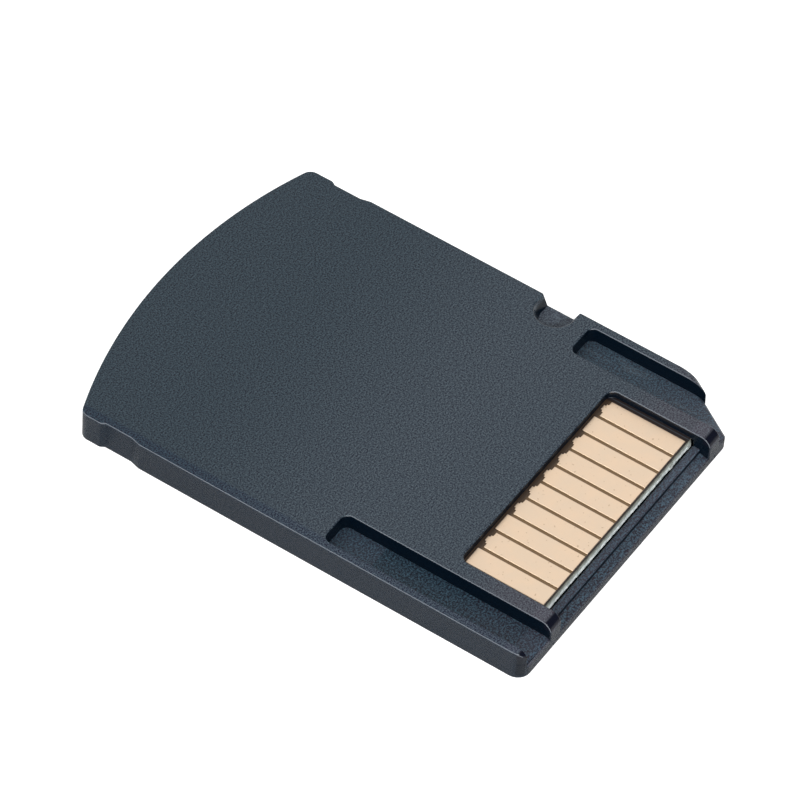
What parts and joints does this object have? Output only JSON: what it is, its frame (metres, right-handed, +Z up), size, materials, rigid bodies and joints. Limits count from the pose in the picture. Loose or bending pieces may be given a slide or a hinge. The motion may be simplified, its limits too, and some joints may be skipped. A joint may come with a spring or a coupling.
{
  "type": "memory card adapter",
  "caption": "Flat black plug-in adapter card with an arched end, a cut corner and a window of gold contact pads; a smaller memory card slides into a slot at its arched end.",
  "frame": {"origin": "centre of the card's outline, on the surface that it lies on", "axes": "+X across the card towards the cut corner's side, +Y along the card towards the arched end, +Z up out of the contact side"},
  "size_m": [0.022, 0.0305, 0.002],
  "materials": {
    "body_plastic": "fine spark-eroded moulded texture, matt",
    "board": "brown solder mask over glass laminate",
    "insulator": "plain moulded black",
    "gold_pads": "pale gold plating, satin",
    "spring_metal": "gold-plated copper alloy strip, bright"
  },
  "bodies": {
    "root": {"housing": "body_plastic", "front_cover": "body_plastic", "circuit_board": "board", "spring_holder": "insulator", "contact_pad_1": "gold_pads", "contact_pad_2": "gold_pads", "contact_pad_3": "gold_pads", "contact_pad_4": "gold_pads", "contact_pad_5": "gold_pads", "contact_pad_6": "gold_pads", "contact_pad_7": "gold_pads", "contact_pad_8": "gold_pads", "contact_pad_9": "gold_pads", "contact_pad_10": "gold_pads", "contact_spring_1": "spring_metal", "contact_spring_2": "spring_metal", "contact_spring_3": "spring_metal", "contact_spring_4": "spring_metal", "contact_spring_5": "spring_metal", "contact_spring_6": "spring_metal", "contact_spring_7": "spring_metal", "contact_spring_8": "spring_metal"}
  },
  "joints": []
}
